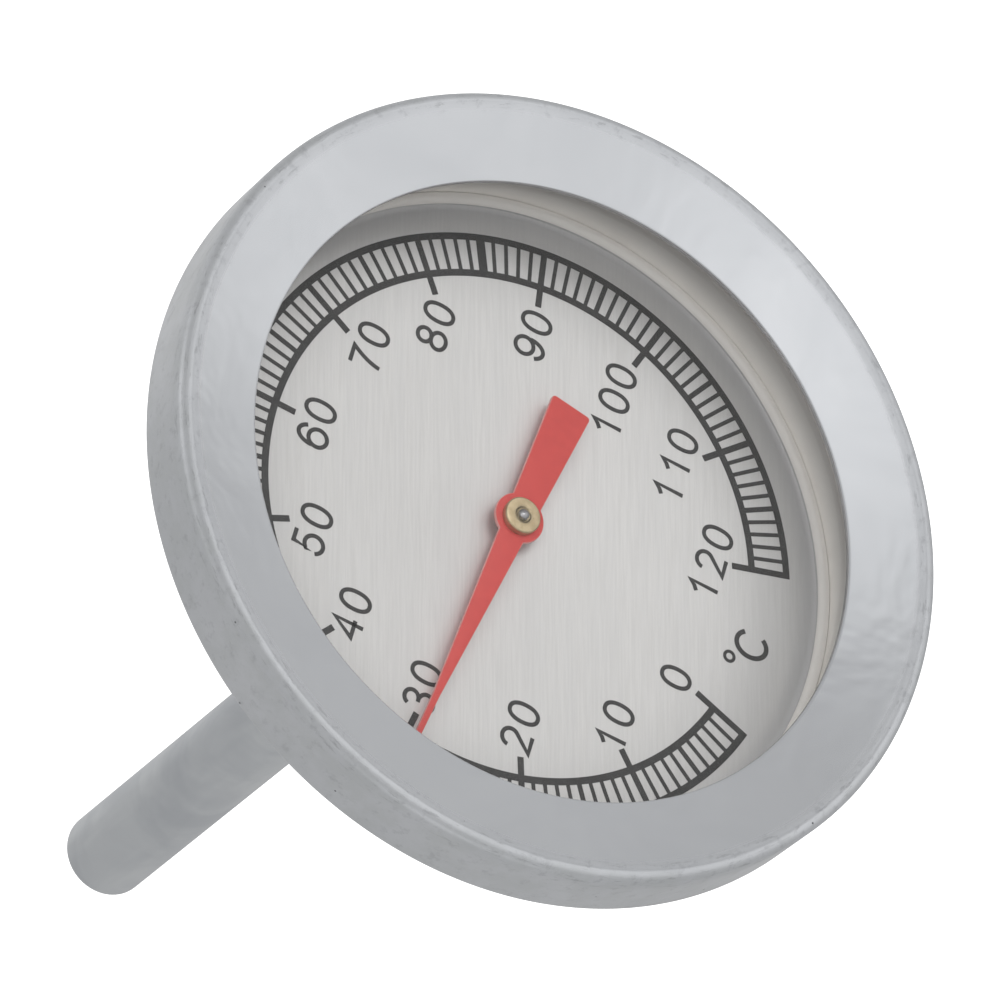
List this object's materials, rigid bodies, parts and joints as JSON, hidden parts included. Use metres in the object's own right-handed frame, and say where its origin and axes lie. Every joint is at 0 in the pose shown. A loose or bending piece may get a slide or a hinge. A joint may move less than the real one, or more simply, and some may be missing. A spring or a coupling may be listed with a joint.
{
  "type": "dial thermometer",
  "caption": "Round bimetal dial thermometer with a plain straight stem at the back; the pointer turns over a Celsius scale as the stem warms.",
  "frame": {"origin": "on the dial's axis, where the stem's free length starts behind the braze; the case's flat back is at Y = -2 mm and the bezel's front rim at Y = -10.2 mm", "axes": "+Y along the stem towards its tip, so the dial faces -Y; +Z is 12 o'clock on the dial; +X is 3 o'clock"},
  "size_m": [0.053, 0.0671, 0.053],
  "materials": {
    "bezel_steel": "satin, lightly marked",
    "case_steel": "drawn, satin",
    "stem_steel": "ground, satin",
    "braze": "matt",
    "window": "clear, polished",
    "rubber": "matt",
    "dial_metal": "brushed, printed in dark grey",
    "adhesive": "matt",
    "brass": "turned",
    "wire_steel": "drawn",
    "bimetal": "rolled",
    "pointer_paint": "matt red"
  },
  "bodies": {
    "case": {"bezel_ring": "bezel_steel", "lens": "window", "lens_gasket": "rubber", "case_cup": "case_steel", "dial_plate": "dial_metal", "dial_adhesive": "adhesive", "stem_tube": "stem_steel", "braze_ring": "braze", "upper_guide_bush": "brass", "lower_guide_bush": "brass", "helix_anchor": "wire_steel", "bimetal_helix": "bimetal"},
    "indicator": {"spindle": "wire_steel", "helix_collar": "wire_steel", "pointer": "pointer_paint", "pointer_hub": "brass"}
  },
  "joints": [
    {"name": "pointer_turn", "type": "hinge", "parent": "case", "child": "indicator", "pos_m": [0, 0, 0], "axis": [0, 1, 0], "range_deg": [-79.65, 244.35], "deforming": ["bimetal_helix"]}
  ]
}
